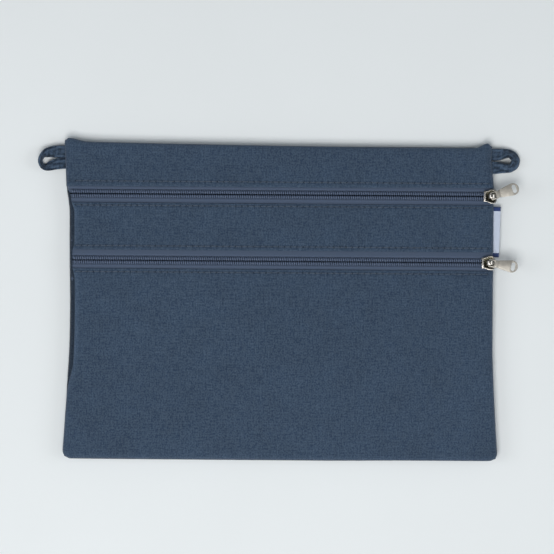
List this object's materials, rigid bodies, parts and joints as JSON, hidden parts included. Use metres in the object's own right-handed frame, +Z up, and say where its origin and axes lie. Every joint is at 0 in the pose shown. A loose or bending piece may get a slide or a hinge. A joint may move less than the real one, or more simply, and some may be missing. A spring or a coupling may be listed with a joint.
{
  "type": "pencil case",
  "caption": "Flat cloth pencil case with coil zips across the front, hinged pull tabs on the sliders and hanging loops at the top corners.",
  "frame": {"origin": "middle of the back panel's outer face, on the surface that the case lies on", "axes": "+X along the zips towards their closed end, +Y towards the top edge with the loops, +Z up out of the front"},
  "size_m": [0.2679, 0.175, 0.0124],
  "materials": {
    "outer_cloth": "matte slate-blue chambray, plain weave",
    "divider_cloth": "matte thin lining cloth",
    "zip_tape": "matte knitted polyester tape",
    "zip_coil": "satin nylon coil",
    "plated_metal": "bright nickel plate",
    "woven_label": "white satin-woven label with plain dark-blue ends",
    "seam_binding": "matte cotton binding",
    "sewing_thread": "matte spun thread"
  },
  "bodies": {
    "case": {"back_panel": "outer_cloth", "divider_panel": "divider_cloth", "top_band": "outer_cloth", "middle_band": "outer_cloth", "lower_panel": "outer_cloth", "upper_zip_tape_top": "zip_tape", "upper_zip_tape_bottom": "zip_tape", "lower_zip_tape_top": "zip_tape", "lower_zip_tape_bottom": "zip_tape", "upper_zip_coil_top": "zip_coil", "upper_zip_coil_bottom": "zip_coil", "lower_zip_coil_top": "zip_coil", "lower_zip_coil_bottom": "zip_coil", "left_loop_tail": "outer_cloth", "right_loop_tail": "outer_cloth", "side_label": "woven_label", "left_seam_binding": "seam_binding", "right_seam_binding": "seam_binding", "bottom_seam_binding": "seam_binding", "top_seam_binding": "seam_binding", "topstitch_upper_above": "sewing_thread", "topstitch_upper_below": "sewing_thread", "topstitch_lower_above": "sewing_thread", "topstitch_lower_below": "sewing_thread"},
    "upper_slider": {"upper_slider": "plated_metal"},
    "lower_slider": {"lower_slider": "plated_metal"},
    "upper_pull_tab": {"upper_pull_tab": "plated_metal"},
    "lower_pull_tab": {"lower_pull_tab": "plated_metal"},
    "left_loop": {"left_loop": "outer_cloth"},
    "right_loop": {"right_loop": "outer_cloth"}
  },
  "joints": [
    {"name": "upper_zip_slide", "type": "slide", "parent": "case", "child": "upper_slider", "axis": [-1, 0, 0], "range_m": [0, 0.227]},
    {"name": "lower_zip_slide", "type": "slide", "parent": "case", "child": "lower_slider", "axis": [-1, 0, 0], "range_m": [0, 0.226]},
    {"name": "upper_pull_flip", "type": "hinge", "parent": "upper_slider", "child": "upper_pull_tab", "pos_m": [0.11578, 0.0593, 0.0105], "axis": [0.3256, -0.9455, 0], "range_deg": [0, 180]},
    {"name": "lower_pull_flip", "type": "hinge", "parent": "lower_slider", "child": "lower_pull_tab", "pos_m": [0.11495, 0.0226, 0.0105], "axis": [-0.1564, -0.9877, 0], "range_deg": [0, 180]},
    {"name": "left_loop_swing", "type": "hinge", "parent": "case", "child": "left_loop", "pos_m": [-0.11958, 0.079, 0.00323], "axis": [0, 1, 0], "range_deg": [-80, 85], "stiffness_Nm_per_rad": 0.001},
    {"name": "right_loop_swing", "type": "hinge", "parent": "case", "child": "right_loop", "pos_m": [0.11958, 0.079, 0.00323], "axis": [0, -1, 0], "range_deg": [-80, 85], "stiffness_Nm_per_rad": 0.001}
  ]
}
